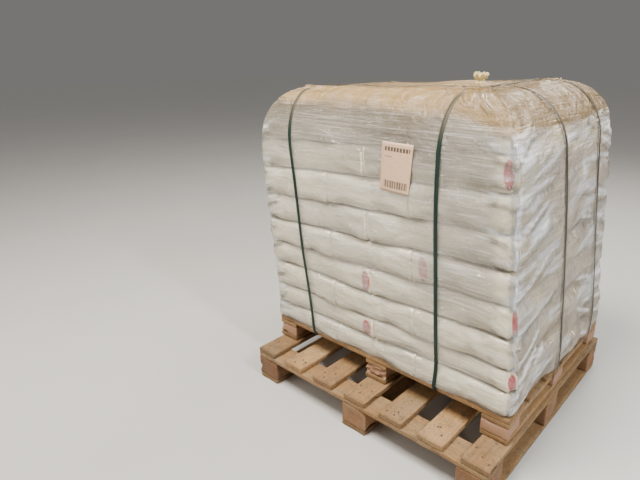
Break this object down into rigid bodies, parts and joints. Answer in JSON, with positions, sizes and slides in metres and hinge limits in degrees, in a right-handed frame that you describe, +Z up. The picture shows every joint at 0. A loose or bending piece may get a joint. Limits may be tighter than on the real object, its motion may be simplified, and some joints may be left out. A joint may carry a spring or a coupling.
{
  "type": "pallet of sacks",
  "caption": "Stretch-wrapped pallet load of filled sacks in crossed layers, held by plastic straps on a low wooden pallet that stands on a larger block pallet.",
  "frame": {"origin": "middle of the underside of the larger, lower pallet, on its middle bottom board", "axes": "+Z up, -Y out of the front with the label, +X to the right seen from the front"},
  "size_m": [1.3244, 1.2, 1.4399],
  "materials": {
    "deck_wood": "rough sawn softwood, dusty, light tan",
    "block_wood": "rough pressed and sawn blocks, reddish brown",
    "sack": "off-white woven sack cloth, creased",
    "film": "clear stretch film, wrinkled, glossy",
    "strap": "embossed plastic strapping, dark green",
    "label": "plain pale label sheet"
  },
  "bodies": {
    "root": {"lower_bottom_board_left": "deck_wood", "lower_bottom_board_middle": "deck_wood", "lower_bottom_board_right": "deck_wood", "lower_block_front_left": "block_wood", "lower_block_middle_left": "block_wood", "lower_block_back_left": "block_wood", "lower_block_front_middle": "block_wood", "lower_block_middle_middle": "block_wood", "lower_block_back_middle": "block_wood", "lower_block_front_right": "block_wood", "lower_block_middle_right": "block_wood", "lower_block_back_right": "block_wood", "lower_stringer_front": "deck_wood", "lower_stringer_middle": "deck_wood", "lower_stringer_back": "deck_wood", "lower_deck_board_1": "deck_wood", "lower_deck_board_2": "deck_wood", "lower_deck_board_3": "deck_wood", "lower_deck_board_4": "deck_wood", "lower_deck_board_5": "deck_wood", "lower_deck_board_6": "deck_wood", "lower_deck_board_7": "deck_wood", "upper_bottom_board_left": "deck_wood", "upper_bottom_board_middle": "deck_wood", "upper_bottom_board_right": "deck_wood", "upper_block_front_left": "block_wood", "upper_block_middle_left": "block_wood", "upper_block_back_left": "block_wood", "upper_block_front_middle": "block_wood", "upper_block_middle_middle": "block_wood", "upper_block_back_middle": "block_wood", "upper_block_front_right": "block_wood", "upper_block_middle_right": "block_wood", "upper_block_back_right": "block_wood", "upper_stringer_left": "deck_wood", "upper_stringer_middle": "deck_wood", "upper_stringer_right": "deck_wood", "upper_deck_board_1": "deck_wood", "upper_deck_board_2": "deck_wood", "upper_deck_board_3": "deck_wood", "upper_deck_board_4": "deck_wood", "upper_deck_board_5": "deck_wood", "upper_deck_board_6": "deck_wood", "sack_layer_1": "sack", "sack_layer_2": "sack", "sack_layer_3": "sack", "sack_layer_4": "sack", "sack_layer_5": "sack", "sack_layer_6": "sack", "sack_layer_7": "sack", "sack_layer_8": "sack", "sack_layer_9": "sack", "stretch_film": "film", "strap_front_left": "strap", "strap_front_right": "strap", "strap_side_middle": "strap", "strap_side_back": "strap", "paper_label": "label", "film_knot": "film"}
  },
  "joints": []
}
